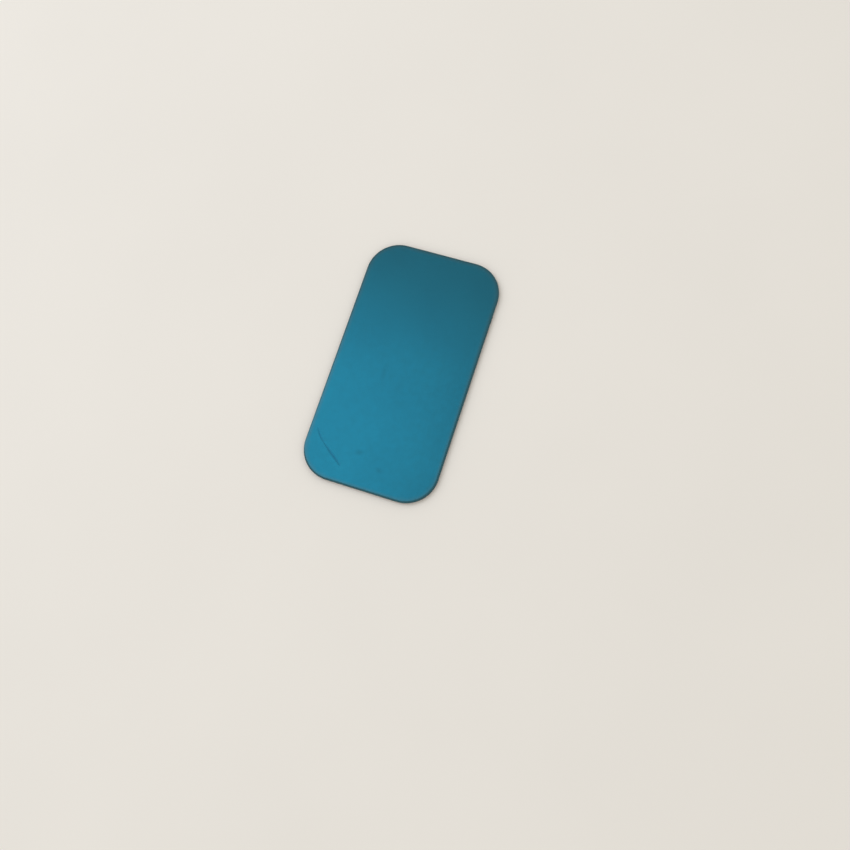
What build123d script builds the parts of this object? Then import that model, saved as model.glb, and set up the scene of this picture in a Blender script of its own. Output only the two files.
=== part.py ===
from build123d import *
from math import sqrt
import os

# A small steel plate that is stuck to the back of a phone, so that a magnetic holder can grip it.
# The sheet is covered with a thin film before the plate is punched out of it, so the film bends
# down with the steel at the rim. A pad of tape holds the plate on.
# The origin is the middle of the tape's underside. X runs across the plate, Y along it, and
# +Z points away from the phone. All sizes are in millimetres, and angles in degrees.

# The blank
length = 42.0
width = 23.0
corner_radius = 5.4
steel_thickness = 0.50

# The punched edge. A die bends the rim down, cuts a smooth band below the bend and breaks the
# rest off at an angle. The bend and the smooth band are shares of the sheet's thickness.
bend_drop_share = 0.20
bend_reach_share = 0.70
smooth_band_share = 0.36
break_angle = 8

# The film on the face
film_thickness = 0.06

# The tape pad, and how far it is set back from the rim
tape_thickness = 0.25
tape_setback = 0.50

# The scratch in the film across the lower left corner. Each place is a distance in from the
# left edge and one up from the lower edge.
scratch_start = (1.60, 7.10)
scratch_turn = (3.10, 5.75)
scratch_deepest = (4.60, 4.80)
scratch_end = (6.40, 3.25)
scratch_width = 0.30
film_under_scratch = 0.015

# How far a cutting shape reaches past what it cuts
overrun = 0.50

# Heights of the layers
steel_underside = tape_thickness
steel_face = steel_underside + steel_thickness
film_face = steel_face + film_thickness

# Sizes of the punched edge
bend_drop = bend_drop_share * steel_thickness
bend_reach = bend_reach_share * steel_thickness
smooth_band = smooth_band_share * steel_thickness
broken_band = steel_thickness - bend_drop - smooth_band

# The bend is an arc that leaves the face smoothly and meets the cut band at a blunt corner
bend_radius = (bend_reach**2 + bend_drop**2) / (2 * bend_drop)
bend_start = width / 2 - bend_reach
bend_centre = steel_face - bend_radius

# The scratch's furrow is drawn twice as deep and wide as it ends up, so that it stands proud
scratch_depth = film_thickness - film_under_scratch
furrow_height = 2 * scratch_depth
furrow_half_width = scratch_width


def rim_waste(radius):
    """The section cut away outside the bent rim, at this radius from the bend's centre."""

    def height(reach):
        return bend_centre + sqrt(radius**2 - reach**2)

    outside = width / 2 + overrun
    top = height(0) + overrun
    with BuildSketch(Plane.XZ) as section:
        with BuildLine():
            ThreePointArc(
                (bend_start, height(0)),
                (bend_start + bend_reach / 2, height(bend_reach / 2)),
                (width / 2, height(bend_reach)),
            )
            Polyline(
                (width / 2, height(bend_reach)),
                (outside, height(bend_reach)),
                (outside, top),
                (bend_start, top),
                (bend_start, height(0)),
            )
        make_face()
    return section.sketch


def in_film(place, depth):
    """A point of the scratch, from its distances to the edges and its depth in the film."""
    from_left, from_lower = place
    return (from_left - width / 2, from_lower - length / 2, film_face - depth)


# The blank's outline, which the rim's sections follow, from the middle of the right side
with BuildLine() as outline:
    side = width / 2
    end = length / 2
    turn_x = side - corner_radius
    turn_y = end - corner_radius
    Line((side, 0), (side, turn_y))
    RadiusArc((side, turn_y), (turn_x, end), -corner_radius)
    Line((turn_x, end), (-turn_x, end))
    RadiusArc((-turn_x, end), (-side, turn_y), -corner_radius)
    Line((-side, turn_y), (-side, -turn_y))
    RadiusArc((-side, -turn_y), (-turn_x, -end), -corner_radius)
    Line((-turn_x, -end), (turn_x, -end))
    RadiusArc((turn_x, -end), (side, -turn_y), -corner_radius)
    Line((side, -turn_y), (side, 0))
rim_path = outline.wire()

# The steel. The broken band narrows towards the underside, and the rim is bent down all round.
with BuildPart() as steel_plate:
    with BuildSketch(Plane.XY.offset(steel_underside + broken_band)) as blank:
        RectangleRounded(width, length, corner_radius)
    extrude(amount=smooth_band + bend_drop)
    extrude(blank.sketch, amount=-broken_band, taper=break_angle)
    sweep(rim_waste(bend_radius), path=rim_path, mode=Mode.SUBTRACT)

# The film, cut flush with the steel and as thick on the bend as on the flat, with its scratch,
# a V-shaped furrow that comes in shallow, is deepest near its lower end and runs out there
with BuildPart() as protective_film:
    with BuildSketch(Plane.XY.offset(steel_face - bend_drop)):
        RectangleRounded(width, length, corner_radius)
    extrude(amount=bend_drop + film_thickness)
    sweep(rim_waste(bend_radius + film_thickness), path=rim_path, mode=Mode.SUBTRACT)
    add(steel_plate.part, mode=Mode.SUBTRACT)
    with BuildLine() as scratch:
        Spline(
            in_film(scratch_start, 0),
            in_film(scratch_turn, scratch_depth / 2),
            in_film(scratch_deepest, scratch_depth),
            in_film(scratch_end, 0),
        )
    scratch_path = scratch.wire()
    with BuildSketch(Plane(scratch_path @ 0, x_dir=(0, 0, 1), z_dir=scratch_path % 0)):
        with BuildLine():
            Polyline(
                (0, 0),
                (furrow_height, furrow_half_width),
                (furrow_height, -furrow_half_width),
                (0, 0),
            )
        make_face()
    sweep(path=scratch_path, mode=Mode.SUBTRACT)

# The tape pad under the steel, with corners that run alongside the rim's
with BuildPart() as adhesive_pad:
    with BuildSketch():
        RectangleRounded(
            width - 2 * tape_setback,
            length - 2 * tape_setback,
            corner_radius - tape_setback,
        )
    extrude(amount=tape_thickness)

steel_plate.part.label = "steel_plate"
protective_film.part.label = "protective_film"
adhesive_pad.part.label = "adhesive_pad"

os.makedirs("parts", exist_ok=True)
export_step(steel_plate.part, "parts/steel_plate.step")
export_step(protective_film.part, "parts/protective_film.step")
export_step(adhesive_pad.part, "parts/adhesive_pad.step")
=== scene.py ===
import math

import bmesh
import bpy
import numpy as np
from bpy.props import FloatProperty, FloatVectorProperty, IntProperty, PointerProperty
from mathutils import Matrix, Vector, noise
from mathutils.geometry import delaunay_2d_cdt


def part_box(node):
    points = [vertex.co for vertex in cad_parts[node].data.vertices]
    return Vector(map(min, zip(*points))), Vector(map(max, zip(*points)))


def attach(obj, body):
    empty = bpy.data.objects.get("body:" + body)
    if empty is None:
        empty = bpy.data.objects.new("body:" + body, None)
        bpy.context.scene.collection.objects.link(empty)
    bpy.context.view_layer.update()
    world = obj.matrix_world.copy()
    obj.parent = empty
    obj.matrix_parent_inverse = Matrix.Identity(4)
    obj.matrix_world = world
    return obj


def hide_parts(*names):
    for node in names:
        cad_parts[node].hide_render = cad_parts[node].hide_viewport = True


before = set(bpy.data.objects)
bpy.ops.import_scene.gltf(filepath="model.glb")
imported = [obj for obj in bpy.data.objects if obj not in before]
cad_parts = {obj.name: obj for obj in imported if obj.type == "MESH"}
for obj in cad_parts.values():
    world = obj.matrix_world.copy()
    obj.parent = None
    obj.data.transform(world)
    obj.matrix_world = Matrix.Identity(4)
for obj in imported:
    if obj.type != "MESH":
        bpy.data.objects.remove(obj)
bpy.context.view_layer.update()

bl_info = {
    "name": "Magnetic mount plate",
    "version": (1, 0, 0),
    "blender": (4, 5, 0),
    "location": "View3D > Sidebar > Mount Plate",
    "description": "Finishes a punched steel plate, its face film and its tape pad, in a small studio",
    "category": "Add Mesh",
}

MM = 0.001

# Points nearer to each other than this are merged
SAME_POINT = 0.001 * MM

# Sizes that come from the solids
STEEL_LOW, STEEL_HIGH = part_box("steel_plate")
FILM_LOW, FILM_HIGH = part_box("protective_film")
PAD_LOW, PAD_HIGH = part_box("adhesive_pad")
WIDTH = STEEL_HIGH.x - STEEL_LOW.x
LENGTH = STEEL_HIGH.y - STEEL_LOW.y
STEEL_THICKNESS = STEEL_HIGH.z - STEEL_LOW.z
FILM_THICKNESS = FILM_HIGH.z - STEEL_HIGH.z
PAD_THICKNESS = PAD_HIGH.z - PAD_LOW.z
BEND_DROP = STEEL_HIGH.z - FILM_LOW.z
SETBACK = PAD_LOW.x - STEEL_LOW.x

# The scratch across the film's lower left corner. Each place is a distance in from the left edge,
# one up from the lower edge, both in millimetres, and a share of the full depth and width.
SCRATCH = (
    (1.33, 7.69, 0.42),
    (2.09, 6.75, 0.80),
    (3.13, 5.67, 0.50),
    (4.34, 4.76, 0.80),
    (5.58, 3.89, 0.93),
    (6.77, 2.96, 0.60),
)

# The rows of points that the scratch is made of: how many points are in a row, how far each row is
# from the scratch's middle, and how far the face's own grid stays clear of it, in millimetres
SCRATCH_POINTS = 110
SCRATCH_ROWS = (0, 0.05, 0.10, 0.14, 0.18, 0.22, 0.26, 0.30, 0.34, 0.40)
CLEAR_OF_SCRATCH = 0.50

# How far from the scratch's middle the crest of a lip is, and how broad it is, as shares of half
# the scratch's width
LIP_PLACE = 1.25
LIP_SPREAD = 0.2

# Faint smudges on the film. Each is a place from the middle, a reach across and along in
# millimetres, a turn in degrees, and the share of the reflection that it takes.
SMUDGES = (
    (-2.25, -15.15, 1.10, 0.75, 17, 0.16),
    (1.90, -17.00, 1.00, 0.60, -20, 0.16),
    (-2.70, -1.50, 0.70, 1.90, 5, 0.12),
)

# How many points there are round a corner of the outline before it is spaced evenly, and along
# each part of the rim's section
CORNER_POINTS = 60
BEND_POINTS = 9
UPRIGHT_POINTS = 4
LEANING_POINTS = 6

# How dark the floor's mottle and the walls are, as a share of the floor's colour
MOTTLE_SHADE = 0.98


def linear(hex_code):
    """An sRGB colour such as #2A7A94 as linear red, green and blue."""
    parts = [int(hex_code[i : i + 2], 16) / 255 for i in (1, 3, 5)]
    return tuple(c / 12.92 if c <= 0.04045 else ((c + 0.055) / 1.055) ** 2.4 for c in parts)


def length(name, description, default):
    """A property that holds a length in metres."""
    return FloatProperty(
        name=name,
        description=description,
        default=default,
        precision=6,
        subtype="DISTANCE",
        unit="LENGTH",
    )


def angle(name, description, degrees):
    """A property that holds an angle."""
    return FloatProperty(
        name=name,
        description=description,
        default=math.radians(degrees),
        subtype="ANGLE",
        unit="ROTATION",
    )


def colour(name, description, hex_code):
    """A property that holds a colour, which is written as an sRGB hex value."""
    return FloatVectorProperty(
        name=name,
        description=description,
        default=linear(hex_code),
        size=3,
        min=0,
        max=1,
        subtype="COLOR",
    )


class PlateSteel(bpy.types.PropertyGroup):
    """The punched blank and its edge"""

    corner_radius: length("Corner radius", "Radius of the blank's corners", 5.4 * MM)
    bend_reach: length("Bend reach", "How far in from the edge the rim bends down", 0.35 * MM)
    smooth_band: length("Smooth band", "Height of the band that the die cuts smooth", 0.18 * MM)
    lean: length("Lean", "How far the broken band has leaned in by the underside", 0.031 * MM)
    tear_depth: length("Tear depth", "How rough the broken band is", 0.012 * MM)
    tear_size: length("Tear size", "How long a tear in the broken band is", 0.16 * MM)
    burr: length("Burr", "How far the broken edge stands below the underside", 0.020 * MM)
    burr_width: length("Burr width", "How wide the burr is on the underside", 0.04 * MM)
    step: length("Step", "Distance between the points along the outline", 0.10 * MM)
    seed: IntProperty(name="Seed", description="Which of the possible broken edges is made", default=3)
    smooth_colour: colour("Smooth band colour", "Steel that the die has rubbed", "#716A62")
    broken_colour: colour("Broken band colour", "Torn steel that has dulled in air", "#453F39")
    # painted shade: the darker colour of the tears' hollows
    tear_hollow_shade: colour("Tear hollow shade", "Painted shade in the depths of the tears", "#302B27")
    rolled_colour: colour("Rolled colour", "Rolled steel on the underside", "#A8A49D")


class PlateFilm(bpy.types.PropertyGroup):
    """The blue film over the face"""

    tint: colour("Tint", "The film over bright steel", "#065C6F")
    deep_tint: colour("Deep tint", "The film where it is a little thicker", "#05596C")
    # painted shade along the rim: a darker, greyer tint that fades in from the cut edge
    rim_shade_tint: colour("Rim shade tint", "Painted shade on the film along the cut edge", "#2C5660")
    rim_shade_width: length("Rim shade width", "How far in from the cut edge the shade is painted", 0.80 * MM)
    glance_tint: colour("Glancing tint", "The reflection at a glancing angle", "#7FB4C4")
    # painted shade in the scratch's groove
    groove_shade_colour: colour("Groove shade colour", "Painted shade in the scratch", "#064066")
    groove_shade_share: FloatProperty(
        name="Groove shade share",
        description="How much of the colour is painted shade where the scratch is deepest",
        default=0.32,
        min=0,
        max=1,
        subtype="FACTOR",
    )
    scratch_width: length("Scratch width", "Width of the scratch where it is deepest", 0.48 * MM)
    scratch_depth: length("Scratch depth", "Depth of the scratch where it is deepest", 0.017 * MM)
    lip_height: length("Lip height", "How far the scratch has pushed its lips up", 0.005 * MM)
    wave_height: length("Wave height", "Height of the film's slow waves", 0.0015 * MM)
    wave_length: length("Wave length", "Length of the film's slow waves", 5.0 * MM)
    grid: length("Grid", "Distance between the points on the face", 0.35 * MM)


class PlatePad(bpy.types.PropertyGroup):
    """The tape pad under the steel"""

    bulge: length("Bulge", "How far the pad's middle is squeezed out past its faces", 0.03 * MM)
    wander: length("Wander", "How far the knife's cut wanders", 0.04 * MM)
    seed: IntProperty(name="Seed", description="Which of the possible cuts is made", default=7)
    glue_colour: colour("Glue colour", "Clear tacky acrylic over tissue", "#DBD8CE")
    fibre_colour: colour("Fibre colour", "Fibres of the tissue", "#ECEAE3")


class PlateStudio(bpy.types.PropertyGroup):
    """The floor, the lights and the camera"""

    floor_colour: colour("Floor colour", "Pale matt board", "#EDE9E2")
    floor_size: length("Floor size", "Width and length of the floor", 8.0)
    ceiling_colour: colour("Ceiling colour", "The pale ceiling of the room", "#FFFDF9")
    room_level: FloatProperty(
        name="Room level", description="Level of the room's light", default=0.83, min=0
    )
    panel_colour: colour("Panel colour", "The panel's light, cooler than the room's", "#E8F0FF")
    panel_power: FloatProperty(
        name="Panel power", description="Power of the soft panel in watts", default=0.668, min=0
    )
    panel_height: length("Panel height", "Height of the soft panel over the floor", 0.35)
    panel_left: length("Panel left", "The panel's left edge, from the plate's middle", -0.80)
    panel_right: length("Panel right", "The panel's right edge, from the plate's middle", -0.042)
    panel_near: length("Panel near", "The panel's near edge, from the plate's middle", -0.035)
    panel_far: length("Panel far", "The panel's far edge, from the plate's middle", 0.1085)
    camera_aim: FloatVectorProperty(
        name="Camera aim",
        description="The place on the floor that the camera is aimed at",
        default=(6.45 * MM, -7.58 * MM, 0),
        size=3,
        precision=6,
        subtype="TRANSLATION",
        unit="LENGTH",
    )
    camera_distance: length("Camera distance", "From the camera to where it aims", 170.55 * MM)
    camera_azimuth: angle("Camera azimuth", "Direction to the camera, from +X", -44.82)
    camera_elevation: angle("Camera elevation", "Height of the camera over the floor", 74.48)
    camera_roll: angle("Camera roll", "Turn of the camera about its line of sight", -27.55)
    lens: FloatProperty(
        name="Lens",
        description="Focal length for a 36 mm sensor",
        default=44.47,
        subtype="DISTANCE_CAMERA",
    )


def node(tree, kind, inputs=None, **settings):
    """Adds a node with its settings. Its inputs, by name or number, get a value or a link, where a
    node stands for its first output and a list for several links."""
    made = tree.nodes.new(kind)
    for name, value in settings.items():
        setattr(made, name, value)
    for key, given in (inputs or {}).items():
        if isinstance(key, int):
            socket = made.inputs[key]
        else:
            socket = next(s for s in made.inputs if s.enabled and s.name == key)
        for value in given if isinstance(given, list) else [given]:
            if isinstance(value, bpy.types.Node):
                value = next(s for s in value.outputs if s.enabled)
            if isinstance(value, bpy.types.NodeSocket):
                tree.links.new(value, socket)
            elif socket.type == "RGBA":
                socket.default_value = (*value, 1)
            else:
                socket.default_value = value
    return made


def begin_material(name):
    """A material with an empty node tree, the tree, and the surface's own place in millimetres."""
    material = bpy.data.materials.new(name)
    material.use_nodes = True
    tree = material.node_tree
    tree.nodes.clear()
    own_place = node(tree, "ShaderNodeTexCoord").outputs["Object"]
    place = node(
        tree,
        "ShaderNodeMapping",
        {"Vector": own_place, "Scale": (MM, MM, MM)},
        vector_type="TEXTURE",
    )
    return material, tree, place


def streaks(tree, place, across, along, turn=0.0):
    """Noise drawn out into streaks of this width and length in millimetres."""
    drawn_out = node(
        tree,
        "ShaderNodeMapping",
        {"Vector": place, "Rotation": (0, 0, turn), "Scale": (across, along, across)},
        vector_type="TEXTURE",
    )
    return node(tree, "ShaderNodeTexNoise", {"Vector": drawn_out, "Scale": 1.0, "Detail": 2.0})


def smudge_share(tree, place):
    """The share of the reflection that the smudges take. Each is a soft oval."""
    total = 0.0
    for x, y, across, along, turn, strength in SMUDGES:
        from_smudge = node(
            tree,
            "ShaderNodeMapping",
            {
                "Vector": place,
                "Location": (x, y, FILM_HIGH.z / MM),
                "Rotation": (0, 0, math.radians(turn)),
                "Scale": (across, along, 1),
            },
            vector_type="TEXTURE",
        )
        away = node(tree, "ShaderNodeVectorMath", {0: from_smudge}, operation="LENGTH").outputs["Value"]
        smudge = node(
            tree,
            "ShaderNodeMapRange",
            {"Value": away, "To Min": strength, "To Max": 0.0},
            interpolation_type="SMOOTHSTEP",
        )
        total = node(tree, "ShaderNodeMath", {0: smudge, 1: total}, operation="ADD")
    return total


def film_material(look):
    """Blue polyethylene film laminated on bright rolled steel. The steel's soft metallic reflection
    comes back through the blue, under the clear and slightly hazy gloss of the film itself."""
    material, tree, place = begin_material("blue film laminated on rolled steel")

    # the film is a touch thicker in patches some 8 mm across
    patches = node(tree, "ShaderNodeTexNoise", {"Vector": place, "Scale": 1 / 8, "Detail": 0.0})
    patch_share = node(tree, "ShaderNodeMapRange", {"Value": patches, "From Min": 0.2, "From Max": 0.8})
    tint = node(
        tree,
        "ShaderNodeMix",
        {"Factor": patch_share, "A": look.tint, "B": look.deep_tint},
        data_type="RGBA",
    )

    # painted shade darkens it along the cut edge, smudges take a little from the reflection, and
    # painted shade darkens the scratch's groove
    rim_shade = node(tree, "ShaderNodeAttribute", attribute_name="rim_shade").outputs["Fac"]
    edged = node(
        tree,
        "ShaderNodeMix",
        {"Factor": rim_shade, "A": tint, "B": look.rim_shade_tint},
        data_type="RGBA",
    )
    shade = node(tree, "ShaderNodeMath", {0: 1.0, 1: smudge_share(tree, place)}, operation="SUBTRACT")
    shaded = node(tree, "ShaderNodeVectorMath", {0: edged, "Scale": shade}, operation="SCALE")
    # painted shade in the scratch's groove, darkest along its middle
    groove_shade = node(tree, "ShaderNodeAttribute", attribute_name="groove_shade").outputs["Fac"]
    base = node(
        tree,
        "ShaderNodeMix",
        {"Factor": groove_shade, "A": shaded, "B": look.groove_shade_colour},
        data_type="RGBA",
    )

    # the haze of the film's matt side varies over about 1 mm, and the scratch's groove is rougher
    haze = node(tree, "ShaderNodeTexNoise", {"Vector": place, "Scale": 1.0, "Detail": 3.0})
    haze_roughness = node(
        tree,
        "ShaderNodeMapRange",
        {"Value": haze, "From Min": 0.3, "From Max": 0.7, "To Min": 0.23, "To Max": 0.27},
    )
    groove_roughness = node(tree, "ShaderNodeMath", {0: groove_shade, 1: 0.25}, operation="MULTIPLY")
    roughness = node(tree, "ShaderNodeMath", {0: haze_roughness, 1: groove_roughness}, operation="ADD")

    # Rolling leaves lines a few hundredths of a millimetre apart, too fine to show here, so they
    # are drawn 0.25 mm apart
    grain = streaks(tree, place, 0.25, 9.0)
    grained = node(tree, "ShaderNodeBump", {"Height": grain, "Distance": 0.0030 * MM})

    # wiping leaves hairlines in the gloss, drawn 0.1 mm wide
    hairlines = streaks(tree, place, 0.10, 5.0, math.radians(62))
    hairline_crests = node(
        tree,
        "ShaderNodeMapRange",
        {"Value": hairlines, "From Min": 0.60, "From Max": 0.68},
    )
    wiped = node(tree, "ShaderNodeBump", {"Height": hairline_crests, "Distance": 0.0040 * MM})

    # nine tenths of it is steel seen through the blue, and the coat is the film's own gloss
    shader = node(
        tree,
        "ShaderNodeBsdfPrincipled",
        {
            "Base Color": base,
            "Metallic": 0.9,
            "Roughness": roughness,
            "Specular Tint": look.glance_tint,
            "Normal": grained,
            "Coat Weight": 0.35,
            "Coat Roughness": 0.5,
            "Coat Normal": wiped,
        },
    )
    node(tree, "ShaderNodeOutputMaterial", {"Surface": shader})
    return material


def steel_material(look):
    """Cold-rolled steel with a punched edge. The die rubs its band smooth, with fine upright lines.
    The band below tears off matt and rough, with painted shade in the hollows of its tears, and the
    underside keeps its rolled grain."""
    material, tree, place = begin_material("punched cold-rolled steel")

    # the border between the two bands wanders by a few hundredths of a millimetre
    height = node(tree, "ShaderNodeSeparateXYZ", {"Vector": place}).outputs["Z"]
    border_height = (STEEL_HIGH.z - BEND_DROP - look.smooth_band) / MM
    wander = streaks(tree, place, 0.3, 0.3)
    border = node(
        tree,
        "ShaderNodeMapRange",
        {
            "Value": wander,
            "From Min": 0.3,
            "From Max": 0.7,
            "To Min": border_height - 0.04,
            "To Max": border_height + 0.02,
        },
    )
    over_border = node(tree, "ShaderNodeMath", {0: height, 1: border}, operation="SUBTRACT")
    rubbed = node(
        tree,
        "ShaderNodeMapRange",
        {"Value": over_border, "From Min": -0.01, "From Max": 0.01},
    )

    # upright lines from the die, 0.08 mm apart, and torn grain of about 0.1 mm, whose hollows are
    # darkened as painted shade
    upright = node(
        tree, "ShaderNodeMapping", {"Vector": place, "Scale": (0.08, 0.08, 2.0)}, vector_type="TEXTURE"
    )
    die_lines = node(tree, "ShaderNodeTexNoise", {"Vector": upright, "Scale": 1.0, "Detail": 2.0})
    tears = node(tree, "ShaderNodeTexNoise", {"Vector": place, "Scale": 10.0, "Detail": 4.0})
    smooth_band = node(
        tree,
        "ShaderNodeMix",
        {"Factor": die_lines, "A": look.broken_colour, "B": look.smooth_colour},
        data_type="RGBA",
    )
    # the tears' hollows take the darker colour, as painted shade
    tear_share = node(tree, "ShaderNodeMapRange", {"Value": tears, "From Min": 0.35, "From Max": 0.65})
    broken_band = node(
        tree,
        "ShaderNodeMix",
        {"Factor": tear_share, "A": look.tear_hollow_shade, "B": look.broken_colour},
        data_type="RGBA",
    )
    wall = node(
        tree,
        "ShaderNodeMix",
        {"Factor": rubbed, "A": broken_band, "B": smooth_band},
        data_type="RGBA",
    )

    # rolled grain on the underside, drawn 0.2 mm wide because the real lines are too fine to show
    normal = node(tree, "ShaderNodeNewGeometry").outputs["Normal"]
    facing = node(tree, "ShaderNodeSeparateXYZ", {"Vector": normal}).outputs["Z"]
    under = node(
        tree,
        "ShaderNodeMapRange",
        {"Value": facing, "From Min": -0.95, "From Max": -0.85, "To Min": 1.0, "To Max": 0.0},
    )
    rolled = streaks(tree, place, 0.2, 6.0)
    rolled_face = node(
        tree,
        "ShaderNodeMix",
        {"Factor": rolled, "A": look.smooth_colour, "B": look.rolled_colour},
        data_type="RGBA",
    )
    base = node(tree, "ShaderNodeMix", {"Factor": under, "A": wall, "B": rolled_face}, data_type="RGBA")

    smooth_share = node(tree, "ShaderNodeMath", {0: rubbed, 1: under}, operation="MAXIMUM")
    roughness = node(
        tree, "ShaderNodeMapRange", {"Value": smooth_share, "To Min": 0.65, "To Max": 0.38}
    )
    lined = node(tree, "ShaderNodeBump", {"Height": die_lines, "Distance": 0.002 * MM})
    torn = node(tree, "ShaderNodeBump", {"Height": tears, "Distance": 0.005 * MM, "Normal": lined})
    shader = node(
        tree,
        "ShaderNodeBsdfPrincipled",
        {"Base Color": base, "Metallic": 1.0, "Roughness": roughness, "Normal": torn},
    )
    node(tree, "ShaderNodeOutputMaterial", {"Surface": shader})
    return material


def pad_material(look):
    """Double-coated tissue tape. Clear tacky acrylic over a web of fine fibres looks milky, with a
    wet gloss, and the fibres show as pale threads."""
    material, tree, place = begin_material("double-coated tissue tape")

    # Fibres are about 0.02 mm thick, too fine to show, so they are drawn 0.1 mm wide. They lie every
    # way and bend over about 3 mm.
    sway = node(
        tree,
        "ShaderNodeTexNoise",
        {"Vector": place, "Scale": 1 / 3, "Detail": 1.0},
    ).outputs["Color"]
    swayed = node(tree, "ShaderNodeVectorMath", {0: sway, "Scale": 2.0}, operation="SCALE")
    bent_place = node(tree, "ShaderNodeVectorMath", {0: place, 1: swayed}, operation="ADD")
    threads = [
        node(
            tree,
            "ShaderNodeMapRange",
            {"Value": streaks(tree, bent_place, 0.10, 4.0, turn), "From Min": 0.56, "From Max": 0.70},
        )
        for turn in (0.3, 1.3, 2.3)
    ]
    pair = node(tree, "ShaderNodeMath", {0: threads[0], 1: threads[1]}, operation="MAXIMUM")
    web = node(tree, "ShaderNodeMath", {0: pair, 1: threads[2]}, operation="MAXIMUM")
    base = node(
        tree,
        "ShaderNodeMix",
        {"Factor": web, "A": look.glue_colour, "B": look.fibre_colour},
        data_type="RGBA",
    )

    # the glue's skin is uneven over about 4 mm
    skin = node(tree, "ShaderNodeTexNoise", {"Vector": place, "Scale": 1 / 4, "Detail": 3.0})
    roughness = node(
        tree,
        "ShaderNodeMapRange",
        {"Value": skin, "From Min": 0.3, "From Max": 0.7, "To Min": 0.28, "To Max": 0.42},
    )
    uneven = node(tree, "ShaderNodeBump", {"Height": web, "Distance": 0.004 * MM})
    shader = node(
        tree,
        "ShaderNodeBsdfPrincipled",
        {
            "Base Color": base,
            "Roughness": roughness,
            "Normal": uneven,
            "IOR": 1.47,
            "Subsurface Weight": 0.2,
            "Subsurface Radius": (0.3 * MM, 0.3 * MM, 0.25 * MM),
            "Subsurface Scale": 1.0,
        },
    )
    node(tree, "ShaderNodeOutputMaterial", {"Surface": shader})
    return material


def floor_material(look):
    """Matt painted board, with a mottle that is only just there."""
    material, tree, place = begin_material("matt painted board")
    mottle = node(tree, "ShaderNodeTexNoise", {"Vector": place, "Scale": 1 / 40, "Detail": 3.0})
    share = node(tree, "ShaderNodeMapRange", {"Value": mottle, "From Min": 0.3, "From Max": 0.7})
    darker = tuple(MOTTLE_SHADE * part for part in look.floor_colour)
    base = node(
        tree,
        "ShaderNodeMix",
        {"Factor": share, "A": look.floor_colour, "B": darker},
        data_type="RGBA",
    )
    shader = node(
        tree,
        "ShaderNodeBsdfPrincipled",
        {"Base Color": base, "Roughness": 0.7, "Specular IOR Level": 0.0},
    )
    node(tree, "ShaderNodeOutputMaterial", {"Surface": shader})
    return material


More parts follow.
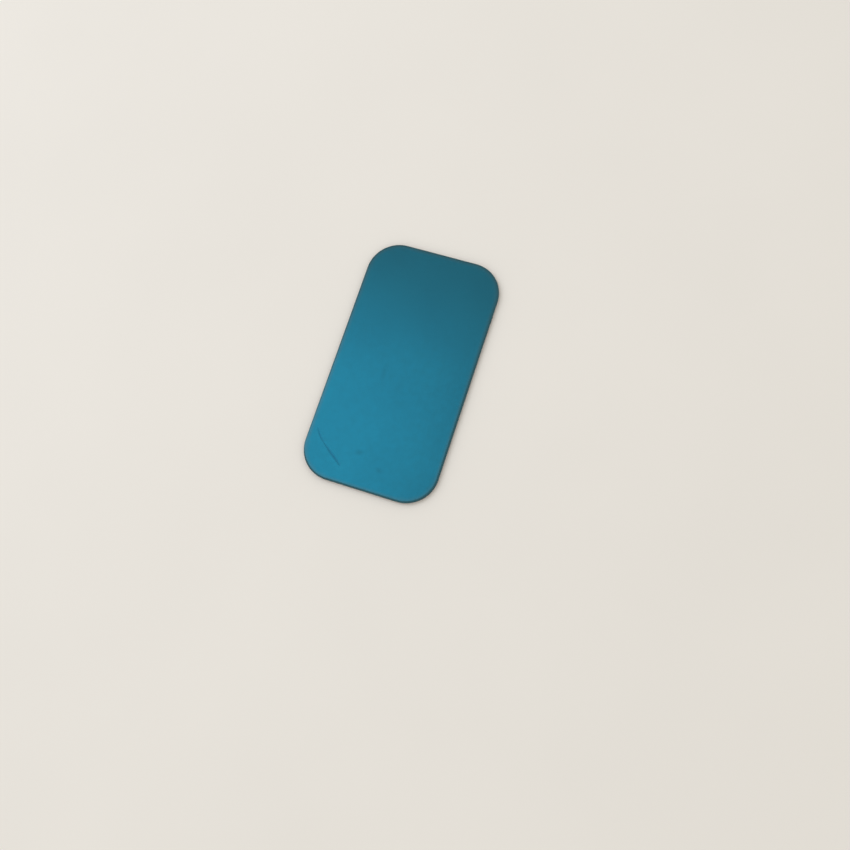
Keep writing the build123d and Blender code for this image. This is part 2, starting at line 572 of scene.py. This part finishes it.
def edge_tree(name):
    """A slab whose edge is a section carried round a rounded rectangle. The section runs from the face
    over the bend, down an upright band and in along a leaning band, which noise tears."""
    tree = bpy.data.node_groups.new(name, "GeometryNodeTree")
    tree.interface.new_socket("Geometry", in_out="OUTPUT", socket_type="NodeSocketGeometry")
    for label in (
        "Width",
        "Length",
        "Corner Radius",
        "Face Height",
        "Thickness",
        "Bend Drop",
        "Bend Reach",
        "Upright Band",
        "Lean",
        "Burr",
        "Burr Width",
        "Step",
        "Tear Depth",
        "Tear Size",
        "Wander",
    ):
        tree.interface.new_socket(label, in_out="INPUT", socket_type="NodeSocketFloat")
    tree.interface.new_socket("Seed", in_out="INPUT", socket_type="NodeSocketInt")
    tree.interface.new_socket("Material", in_out="INPUT", socket_type="NodeSocketMaterial")
    given = node(tree, "NodeGroupInput").outputs

    # the outline, at the height of the face
    rectangle = node(
        tree,
        "GeometryNodeCurvePrimitiveQuadrilateral",
        {"Width": given["Width"], "Height": given["Length"]},
    )
    rounded = node(
        tree,
        "GeometryNodeFilletCurve",
        {"Curve": rectangle, "Radius": given["Corner Radius"], "Count": CORNER_POINTS},
        mode="POLY",
    )
    spaced = node(
        tree,
        "GeometryNodeResampleCurve",
        {"Curve": rounded, "Length": given["Step"]},
        mode="LENGTH",
    )
    outline = node(tree, "GeometryNodeSetCurveNormal", {"Curve": spaced}, mode="Z_UP")

    # The section is measured out from the outline and down from the face. The bend is an arc, which
    # has dropped by a quarter halfway along.
    bend_in = node(tree, "ShaderNodeMath", {0: given["Bend Reach"], 1: -1.0}, operation="MULTIPLY")
    half_in = node(tree, "ShaderNodeMath", {0: given["Bend Reach"], 1: -0.5}, operation="MULTIPLY")
    quarter_drop = node(tree, "ShaderNodeMath", {0: given["Bend Drop"], 1: 0.25}, operation="MULTIPLY")
    band_end = node(
        tree,
        "ShaderNodeMath",
        {0: given["Bend Drop"], 1: given["Upright Band"]},
        operation="ADD",
    )
    lean_in = node(tree, "ShaderNodeMath", {0: given["Lean"], 1: -1.0}, operation="MULTIPLY")
    bend_start = node(tree, "ShaderNodeCombineXYZ", {"X": bend_in})
    bend_middle = node(tree, "ShaderNodeCombineXYZ", {"X": half_in, "Y": quarter_drop})
    band_top = node(tree, "ShaderNodeCombineXYZ", {"Y": given["Bend Drop"]})
    band_foot = node(tree, "ShaderNodeCombineXYZ", {"Y": band_end})
    lean_foot = node(tree, "ShaderNodeCombineXYZ", {"X": lean_in, "Y": given["Thickness"]})
    burr_in = node(tree, "ShaderNodeMath", {0: lean_in, 1: given["Burr Width"]}, operation="SUBTRACT")
    burr_back = node(tree, "ShaderNodeCombineXYZ", {"X": burr_in, "Y": given["Thickness"]})
    bend = node(
        tree,
        "GeometryNodeCurveArc",
        {"Resolution": BEND_POINTS, "Start": bend_start, "Middle": bend_middle, "End": band_top},
        mode="POINTS",
    )
    upright = node(tree, "GeometryNodeCurvePrimitiveLine", {"Start": band_top, "End": band_foot})
    upright = node(
        tree,
        "GeometryNodeResampleCurve",
        {"Curve": upright, "Count": UPRIGHT_POINTS},
        mode="COUNT",
    )
    leaning = node(tree, "GeometryNodeCurvePrimitiveLine", {"Start": band_foot, "End": lean_foot})
    leaning = node(
        tree,
        "GeometryNodeResampleCurve",
        {"Curve": leaning, "Count": LEANING_POINTS},
        mode="COUNT",
    )
    turned_under = node(tree, "GeometryNodeCurvePrimitiveLine", {"Start": lean_foot, "End": burr_back})
    section = node(
        tree,
        "GeometryNodeJoinGeometry",
        {"Geometry": [bend, upright, leaning, turned_under]},
    )
    strips = node(tree, "GeometryNodeCurveToMesh", {"Curve": outline, "Profile Curve": section})
    wall = node(tree, "GeometryNodeMergeByDistance", {"Geometry": strips, "Distance": SAME_POINT})

    # the face and the underside fill the wall's two open ends
    shared_by = node(tree, "GeometryNodeInputMeshEdgeNeighbors")
    open_end = node(
        tree,
        "FunctionNodeCompare",
        {"A": shared_by, "B": 1},
        data_type="INT",
        operation="EQUAL",
    )
    position = node(tree, "GeometryNodeInputPosition")
    depth = node(tree, "ShaderNodeSeparateXYZ", {0: position}).outputs["Z"]
    half_depth = node(tree, "ShaderNodeMath", {0: given["Thickness"], 1: -0.5}, operation="MULTIPLY")
    in_upper_half = node(
        tree,
        "FunctionNodeCompare",
        {"A": depth, "B": half_depth},
        operation="GREATER_THAN",
    )
    in_lower_half = node(tree, "FunctionNodeBooleanMath", {0: in_upper_half}, operation="NOT")
    upper_end = node(tree, "FunctionNodeBooleanMath", {0: open_end, 1: in_upper_half}, operation="AND")
    lower_end = node(tree, "FunctionNodeBooleanMath", {0: open_end, 1: in_lower_half}, operation="AND")
    upper_loop = node(tree, "GeometryNodeMeshToCurve", {"Mesh": wall, "Selection": upper_end})
    lower_loop = node(tree, "GeometryNodeMeshToCurve", {"Mesh": wall, "Selection": lower_end})
    face = node(tree, "GeometryNodeFillCurve", {"Curve": upper_loop}, mode="TRIANGLES")
    underside = node(tree, "GeometryNodeFillCurve", {"Curve": lower_loop}, mode="TRIANGLES")
    thickness_down = node(tree, "ShaderNodeMath", {0: given["Thickness"], 1: -1.0}, operation="MULTIPLY")
    down = node(tree, "ShaderNodeCombineXYZ", {"Z": thickness_down})
    underside = node(tree, "GeometryNodeTransform", {"Geometry": underside, "Translation": down})
    underside = node(tree, "GeometryNodeFlipFaces", {"Mesh": underside})
    closed = node(tree, "GeometryNodeJoinGeometry", {"Geometry": [wall, face, underside]})
    solid = node(tree, "GeometryNodeMergeByDistance", {"Geometry": closed, "Distance": SAME_POINT})

    # Tears push the leaning band in and out. Where it turns under, they pull its foot down as a burr,
    # and the points further in, whose normals have no sideways part, stay.
    place = node(tree, "GeometryNodeInputPosition")
    tear_places = node(
        tree,
        "ShaderNodeVectorMath",
        {0: place, 1: given["Tear Size"]},
        operation="DIVIDE",
    )
    tears = node(
        tree,
        "ShaderNodeTexNoise",
        {"Vector": tear_places, "W": given["Seed"], "Scale": 1.0, "Detail": 3.0},
        noise_dimensions="4D",
    )
    slow_places = node(
        tree,
        "ShaderNodeVectorMath",
        {0: place, "Scale": 1 / (4 * MM)},
        operation="SCALE",
    )
    slow = node(
        tree,
        "ShaderNodeTexNoise",
        {"Vector": slow_places, "W": given["Seed"], "Scale": 1.0, "Detail": 1.0},
        noise_dimensions="4D",
    )
    band_end_height = node(tree, "ShaderNodeMath", {0: band_end, 1: -1.0}, operation="MULTIPLY")
    broken_share = node(
        tree,
        "ShaderNodeMapRange",
        {
            "Value": depth,
            "From Min": thickness_down,
            "From Max": band_end_height,
            "To Min": 1.0,
            "To Max": 0.0,
        },
    )
    tear_swing = node(tree, "ShaderNodeMath", {0: tears, 1: 0.5}, operation="SUBTRACT")
    tear_reach = node(
        tree,
        "ShaderNodeMath",
        {0: tear_swing, 1: given["Tear Depth"]},
        operation="MULTIPLY",
    )
    tear = node(tree, "ShaderNodeMath", {0: tear_reach, 1: broken_share}, operation="MULTIPLY")
    slow_swing = node(tree, "ShaderNodeMath", {0: slow, 1: 0.5}, operation="SUBTRACT")
    drift = node(tree, "ShaderNodeMath", {0: slow_swing, 1: given["Wander"]}, operation="MULTIPLY")
    push = node(tree, "ShaderNodeMath", {0: tear, 1: drift}, operation="ADD")
    sideways = node(
        tree,
        "ShaderNodeVectorMath",
        {0: node(tree, "GeometryNodeInputNormal"), 1: (1.0, 1.0, 0.0)},
        operation="MULTIPLY",
    )
    pushed = node(tree, "ShaderNodeVectorMath", {0: sideways, "Scale": push}, operation="SCALE")
    turning = node(tree, "ShaderNodeVectorMath", {0: sideways}, operation="LENGTH").outputs["Value"]
    at_foot = node(tree, "ShaderNodeMapRange", {"Value": broken_share, "From Min": 0.9, "From Max": 1.0})
    foot_share = node(tree, "ShaderNodeMath", {0: at_foot, 1: turning}, operation="MULTIPLY")
    burr_reach = node(tree, "ShaderNodeMath", {0: tears, 1: given["Burr"]}, operation="MULTIPLY")
    burr_down = node(tree, "ShaderNodeMath", {0: burr_reach, 1: foot_share}, operation="MULTIPLY")
    burr_height = node(tree, "ShaderNodeMath", {0: burr_down, 1: -1.0}, operation="MULTIPLY")
    burr = node(tree, "ShaderNodeCombineXYZ", {"Z": burr_height})
    shift = node(tree, "ShaderNodeVectorMath", {0: pushed, 1: burr}, operation="ADD")
    torn = node(tree, "GeometryNodeSetPosition", {"Geometry": solid, "Offset": shift})

    up = node(tree, "ShaderNodeCombineXYZ", {"Z": given["Face Height"]})
    placed = node(tree, "GeometryNodeTransform", {"Geometry": torn, "Translation": up})
    real = node(tree, "GeometryNodeRealizeInstances", {"Geometry": placed})
    dressed = node(tree, "GeometryNodeSetMaterial", {"Geometry": real, "Material": given["Material"]})
    node(tree, "NodeGroupOutput", {"Geometry": dressed})
    return tree


def place_mesh(name, mesh):
    """An object for a mesh whose points are already where they belong."""
    made = bpy.data.objects.new(name, mesh)
    bpy.context.scene.collection.objects.link(made)
    return made


def grow(tree, name, values):
    """Runs a geometry tree with these inputs and keeps the result as an object with a plain mesh."""
    holder = bpy.data.objects.new(name + "_holder", bpy.data.meshes.new(name + "_holder"))
    bpy.context.scene.collection.objects.link(holder)
    modifier = holder.modifiers.new(name, "NODES")
    modifier.node_group = tree
    for item in tree.interface.items_tree:
        if item.in_out == "INPUT":
            modifier[item.identifier] = values[item.name]
    evaluated = holder.evaluated_get(bpy.context.evaluated_depsgraph_get())
    mesh = bpy.data.meshes.new_from_object(evaluated)
    mesh.name = name
    holder.modifiers.clear()
    bpy.data.objects.remove(holder)
    return place_mesh(name, mesh)


def finish_piece(piece, cad_node, sharp_degrees):
    """Shades a piece smooth up to its sharp edges and lets it stand for a CAD node."""
    piece.data.shade_smooth()
    piece.data.set_sharp_from_angle(angle=math.radians(sharp_degrees))
    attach(piece, "root")
    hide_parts(cad_node)


def outline_ring(inset, corner_radius, step):
    """Points round the plate's outline, this far in from it. Every ring has the same count."""
    radius = corner_radius - inset
    corner_steps = math.ceil(math.pi / 2 * corner_radius / step)
    middle = np.array((WIDTH / 2 - corner_radius, LENGTH / 2 - corner_radius))
    signs = ((1, 1), (-1, 1), (-1, -1), (1, -1))
    points = []
    for quarter, sign in enumerate(signs):
        centre = middle * sign
        for turn in np.linspace(quarter, quarter + 1, corner_steps + 1) * math.pi / 2:
            points.append(centre + radius * np.array((math.cos(turn), math.sin(turn))))
        run = middle * signs[(quarter + 1) % 4] - centre
        steps = math.ceil(np.linalg.norm(run) / step)
        start = points[-1]
        points += [start + run * i / steps for i in range(1, steps)]
    return np.array(points)


def scratch_line(count):
    """Points along the scratch, the direction across it at each, and its share of the full depth."""
    corner = np.array((FILM_LOW.x, FILM_LOW.y))
    places = np.array([corner + MM * np.array(stop[:2]) for stop in SCRATCH])
    runs = np.linalg.norm(np.diff(places, axis=0), axis=1)
    stops = np.concatenate(([0], np.cumsum(runs))) / runs.sum()
    along = np.linspace(0, 1, count)
    # a cubic passes close to every place
    line = np.stack([np.polyval(np.polyfit(stops, places[:, i], 3), along) for i in (0, 1)], axis=1)
    share = np.interp(along, stops, [stop[2] for stop in SCRATCH])
    tangent = np.gradient(line, axis=0)
    tangent /= np.linalg.norm(tangent, axis=1)[:, None]
    return line, np.stack((-tangent[:, 1], tangent[:, 0]), axis=1), share


def film_point(point, look, scratch):
    """How far the film stands above its flat face at a point, and how much painted shade the scratch's
    groove puts there.
    """
    line, _, share = scratch
    away = np.linalg.norm(line - point, axis=1)
    nearest = int(np.argmin(away))
    pressed = share[nearest]
    distance = away[nearest] / (look.scratch_width / 2 * pressed)
    if distance < 1:
        push = -look.scratch_depth * pressed * (1 - distance)
    else:
        lip = (distance - LIP_PLACE) / LIP_SPREAD
        push = look.lip_height * pressed * math.exp(-lip * lip)
    wave = look.wave_height * noise.noise(Vector((*point, 0)) / look.wave_length)
    # painted shade in the scratch's groove, darkest along its middle
    groove_shade = look.groove_shade_share * pressed * max(0.0, 1 - distance**2)
    return wave + push, groove_shade


def film_mesh(steel, look):
    """The film as a closed skin: its underside, the underside of the bend, the cut edge, the outside
    of the bend, and the face with its scratch."""
    bend_radius = (steel.bend_reach**2 + BEND_DROP**2) / (2 * BEND_DROP)
    bend_centre = STEEL_HIGH.z - bend_radius
    reaches = np.linspace(0, steel.bend_reach, BEND_POINTS)

    def bend(radius):
        """Distances in from the outline and heights along the bend, from the flat to the edge."""
        heights = [bend_centre + math.sqrt(radius**2 - reach**2) for reach in reaches]
        return [(steel.bend_reach - reach, height) for reach, height in zip(reaches, heights)]

    # two rings of the flat face go between the bend and the grid
    past_bend = (0.10 * MM, 0.25 * MM)
    flat_rings = [(steel.bend_reach + extra, FILM_HIGH.z) for extra in past_bend]
    section = bend(bend_radius) + bend(bend_radius + FILM_THICKNESS)[::-1] + flat_rings

    bm = bmesh.new()
    # two layers of painted shade: in the scratch's groove and along the rim
    groove_shade_layer = bm.verts.layers.float.new("groove_shade")
    rim_shade_layer = bm.verts.layers.float.new("rim_shade")
    rings = []
    for inset, height in section:
        outline = outline_ring(inset, steel.corner_radius, steel.step)
        ring = [bm.verts.new((x, y, height)) for x, y in outline]
        # painted shade along the rim, strongest at the cut edge
        for vert in ring:
            vert[rim_shade_layer] = max(0.0, 1 - inset / look.rim_shade_width)
        rings.append(ring)
    for ring, next_ring in zip(rings, rings[1:]):
        for i in range(len(ring)):
            j = (i + 1) % len(ring)
            bm.faces.new((ring[i], ring[j], next_ring[j], next_ring[i]))
    bm.faces.new(rings[0][::-1])

    # the face inside the last ring: a grid, with rows of points along the scratch
    scratch = scratch_line(SCRATCH_POINTS)
    line, across, _ = scratch
    inner = section[-1][0] + look.grid / 2
    turn = steel.corner_radius - inner
    half_x = WIDTH / 2 - inner
    half_y = LENGTH / 2 - inner
    inside = []
    for x in np.linspace(-half_x, half_x, round(2 * half_x / look.grid)):
        for y in np.linspace(-half_y, half_y, round(2 * half_y / look.grid)):
            past = np.array((abs(x) - half_x + turn, abs(y) - half_y + turn))
            in_corner = past.min() > 0 and np.linalg.norm(past) > turn
            from_scratch = np.linalg.norm(line - (x, y), axis=1).min()
            if not in_corner and from_scratch > CLEAR_OF_SCRATCH * MM:
                inside.append((x, y))
    for offset in SCRATCH_ROWS:
        for side in (1, -1) if offset else (1,):
            inside += [tuple(point) for point in line + across * side * offset * MM]
    border = [tuple(vert.co.xy) for vert in rings[-1]]
    edges = [(i, (i + 1) % len(border)) for i in range(len(border))]
    within_border = 1
    points, _, faces, sources, _, _ = delaunay_2d_cdt(
        [Vector(place) for place in border + inside], edges, [], within_border, SAME_POINT / 10
    )
    verts = []
    for point, source in zip(points, sources):
        if source and source[0] < len(border):
            verts.append(rings[-1][source[0]])
            continue
        # how high the film stands, and its painted shade in the scratch's groove
        rise, groove_shade = film_point(np.array(point), look, scratch)
        vert = bm.verts.new((point.x, point.y, FILM_HIGH.z + rise))
        vert[groove_shade_layer] = groove_shade
        verts.append(vert)
    for corners in faces:
        bm.faces.new([verts[i] for i in corners])
    bmesh.ops.recalc_face_normals(bm, faces=bm.faces)
    mesh = bpy.data.meshes.new("face_film")
    bm.to_mesh(mesh)
    bm.free()
    return mesh


class PLATE_OT_studio(bpy.types.Operator):
    """Sets up the floor, the lights and the camera"""

    bl_idname = "plate.studio"
    bl_label = "Studio"

    def execute(self, context):
        look = context.scene.plate_studio
        self.add_floor(look)
        self.add_room(context, look)
        self.add_panel(context, look)
        self.add_camera(context, look)
        context.scene.view_settings.view_transform = "Standard"
        return {"FINISHED"}

    def add_floor(self, look):
        """A flat board."""
        half = look.floor_size / 2
        corners = [(-half, -half, 0), (half, -half, 0), (half, half, 0), (-half, half, 0)]
        mesh = bpy.data.meshes.new("floor")
        mesh.from_pydata(corners, [], [(0, 1, 2, 3)])
        mesh.materials.append(floor_material(look))
        place_mesh("floor", mesh)

    def add_room(self, context, look):
        """The room's light, from above. Its walls look as the floor does far from the panel, so that
        the horizon hardly shows."""
        world = bpy.data.worlds.new("pale_room")
        world.use_nodes = True
        tree = world.node_tree
        tree.nodes.clear()
        direction = node(tree, "ShaderNodeTexCoord").outputs["Generated"]
        upward = node(tree, "ShaderNodeSeparateXYZ", {"Vector": direction}).outputs["Z"]
        ceiling_share = node(
            tree,
            "ShaderNodeMapRange",
            {"Value": upward, "From Min": 0.0, "From Max": 0.5},
            interpolation_type="SMOOTHSTEP",
        )
        lit_floor = zip(look.floor_colour, look.ceiling_colour)
        walls = tuple(MOTTLE_SHADE * part * light for part, light in lit_floor)
        tone = node(
            tree,
            "ShaderNodeMix",
            {"Factor": ceiling_share, "A": walls, "B": look.ceiling_colour},
            data_type="RGBA",
        )
        room = node(tree, "ShaderNodeBackground", {"Color": tone, "Strength": look.room_level})
        node(tree, "ShaderNodeOutputWorld", {"Surface": room})
        context.scene.world = world

    def add_panel(self, context, look):
        """The soft panel, which faces down. Its right and far edges are where the face, seen from the
        camera, goes from light to dark."""
        lamp = bpy.data.lights.new("panel", "AREA")
        lamp.shape = "RECTANGLE"
        lamp.size = look.panel_right - look.panel_left
        lamp.size_y = look.panel_far - look.panel_near
        lamp.energy = look.panel_power
        lamp.color = look.panel_colour
        panel = bpy.data.objects.new("panel", lamp)
        middle_x = (look.panel_left + look.panel_right) / 2
        middle_y = (look.panel_near + look.panel_far) / 2
        panel.location = (middle_x, middle_y, look.panel_height)
        context.scene.collection.objects.link(panel)

    def add_camera(self, context, look):
        """The camera, aimed at a point of the floor beside the plate."""
        camera = bpy.data.cameras.new("camera")
        camera.lens = look.lens
        camera.sensor_width = 36
        camera.clip_start = 0.01
        camera.clip_end = 10
        viewer = bpy.data.objects.new("camera", camera)
        level = math.cos(look.camera_elevation)
        back = Vector(
            (
                level * math.cos(look.camera_azimuth),
                level * math.sin(look.camera_azimuth),
                math.sin(look.camera_elevation),
            )
        )
        viewer.location = Vector(look.camera_aim) + back * look.camera_distance
        upright = back.to_track_quat("Z", "Y").to_matrix()
        viewer.rotation_euler = (upright @ Matrix.Rotation(look.camera_roll, 3, "Z")).to_euler()
        context.scene.collection.objects.link(viewer)
        context.scene.camera = viewer


class PLATE_OT_punched_steel(bpy.types.Operator):
    """Makes the steel plate with its punched edge"""

    bl_idname = "plate.punched_steel"
    bl_label = "Punched Steel"

    def execute(self, context):
        look = context.scene.plate_steel
        values = {
            "Width": WIDTH,
            "Length": LENGTH,
            "Corner Radius": look.corner_radius,
            "Face Height": STEEL_HIGH.z,
            "Thickness": STEEL_THICKNESS,
            "Bend Drop": BEND_DROP,
            "Bend Reach": look.bend_reach,
            "Upright Band": look.smooth_band,
            "Lean": look.lean,
            "Burr": look.burr,
            "Burr Width": look.burr_width,
            "Step": look.step,
            "Tear Depth": look.tear_depth,
            "Tear Size": look.tear_size,
            "Wander": 0.0,
            "Seed": look.seed,
            "Material": steel_material(look),
        }
        piece = grow(edge_tree("Punched slab"), "punched_steel", values)
        finish_piece(piece, "steel_plate", sharp_degrees=25)
        return {"FINISHED"}


class PLATE_OT_face_film(bpy.types.Operator):
    """Makes the film on the face, with its scratch"""

    bl_idname = "plate.face_film"
    bl_label = "Face Film"

    def execute(self, context):
        look = context.scene.plate_film
        mesh = film_mesh(context.scene.plate_steel, look)
        mesh.materials.append(film_material(look))
        piece = place_mesh("face_film", mesh)
        finish_piece(piece, "protective_film", sharp_degrees=40)
        return {"FINISHED"}


class PLATE_OT_tape_pad(bpy.types.Operator):
    """Makes the tape pad under the steel"""

    bl_idname = "plate.tape_pad"
    bl_label = "Tape Pad"

    def execute(self, context):
        look = context.scene.plate_pad
        steel = context.scene.plate_steel
        # the cut edge curves out below the face, stands upright, and leans back in as far below
        curve_drop = 0.3 * PAD_THICKNESS
        values = {
            "Width": WIDTH - 2 * SETBACK,
            "Length": LENGTH - 2 * SETBACK,
            "Corner Radius": steel.corner_radius - SETBACK,
            "Face Height": PAD_HIGH.z,
            "Thickness": PAD_THICKNESS,
            "Bend Drop": curve_drop,
            "Bend Reach": look.bulge,
            "Upright Band": PAD_THICKNESS - 2 * curve_drop,
            "Lean": look.bulge,
            "Burr": 0.0,
            "Burr Width": steel.burr_width,
            "Step": steel.step,
            "Tear Depth": 0.0,
            "Tear Size": steel.tear_size,
            "Wander": look.wander,
            "Seed": look.seed,
            "Material": pad_material(look),
        }
        piece = grow(edge_tree("Die-cut pad"), "tape_pad", values)
        finish_piece(piece, "adhesive_pad", sharp_degrees=60)
        return {"FINISHED"}


class PLATE_PT_sidebar(bpy.types.Panel):
    """Lists the studio and the plate's pieces, each with its settings"""

    bl_idname = "PLATE_PT_sidebar"
    bl_label = "Mount Plate"
    bl_space_type = "VIEW_3D"
    bl_region_type = "UI"
    bl_category = "Mount Plate"

    def draw(self, context):
        for operator, group, _ in STEPS:
            settings = getattr(context.scene, group)
            box = self.layout.box()
            box.operator(operator.bl_idname)
            for name in settings.__annotations__:
                box.prop(settings, name)


# Each operator with the name and the kind of its settings
STEPS = (
    (PLATE_OT_studio, "plate_studio", PlateStudio),
    (PLATE_OT_punched_steel, "plate_steel", PlateSteel),
    (PLATE_OT_face_film, "plate_film", PlateFilm),
    (PLATE_OT_tape_pad, "plate_pad", PlatePad),
)


def register():
    """Adds each piece's settings and operator, and the panel that lists them."""
    for operator, name, group in STEPS:
        bpy.utils.register_class(group)
        setattr(bpy.types.Scene, name, PointerProperty(type=group))
        bpy.utils.register_class(operator)
    bpy.utils.register_class(PLATE_PT_sidebar)


def unregister():
    """Takes them out again."""
    bpy.utils.unregister_class(PLATE_PT_sidebar)
    for operator, name, group in reversed(STEPS):
        bpy.utils.unregister_class(operator)
        delattr(bpy.types.Scene, name)
        bpy.utils.unregister_class(group)


def main():
    """Makes the studio and the pieces."""
    register()
    bpy.ops.plate.studio()
    bpy.ops.plate.punched_steel()
    bpy.ops.plate.face_film()
    bpy.ops.plate.tape_pad()


if __name__ == "__main__":
    main()
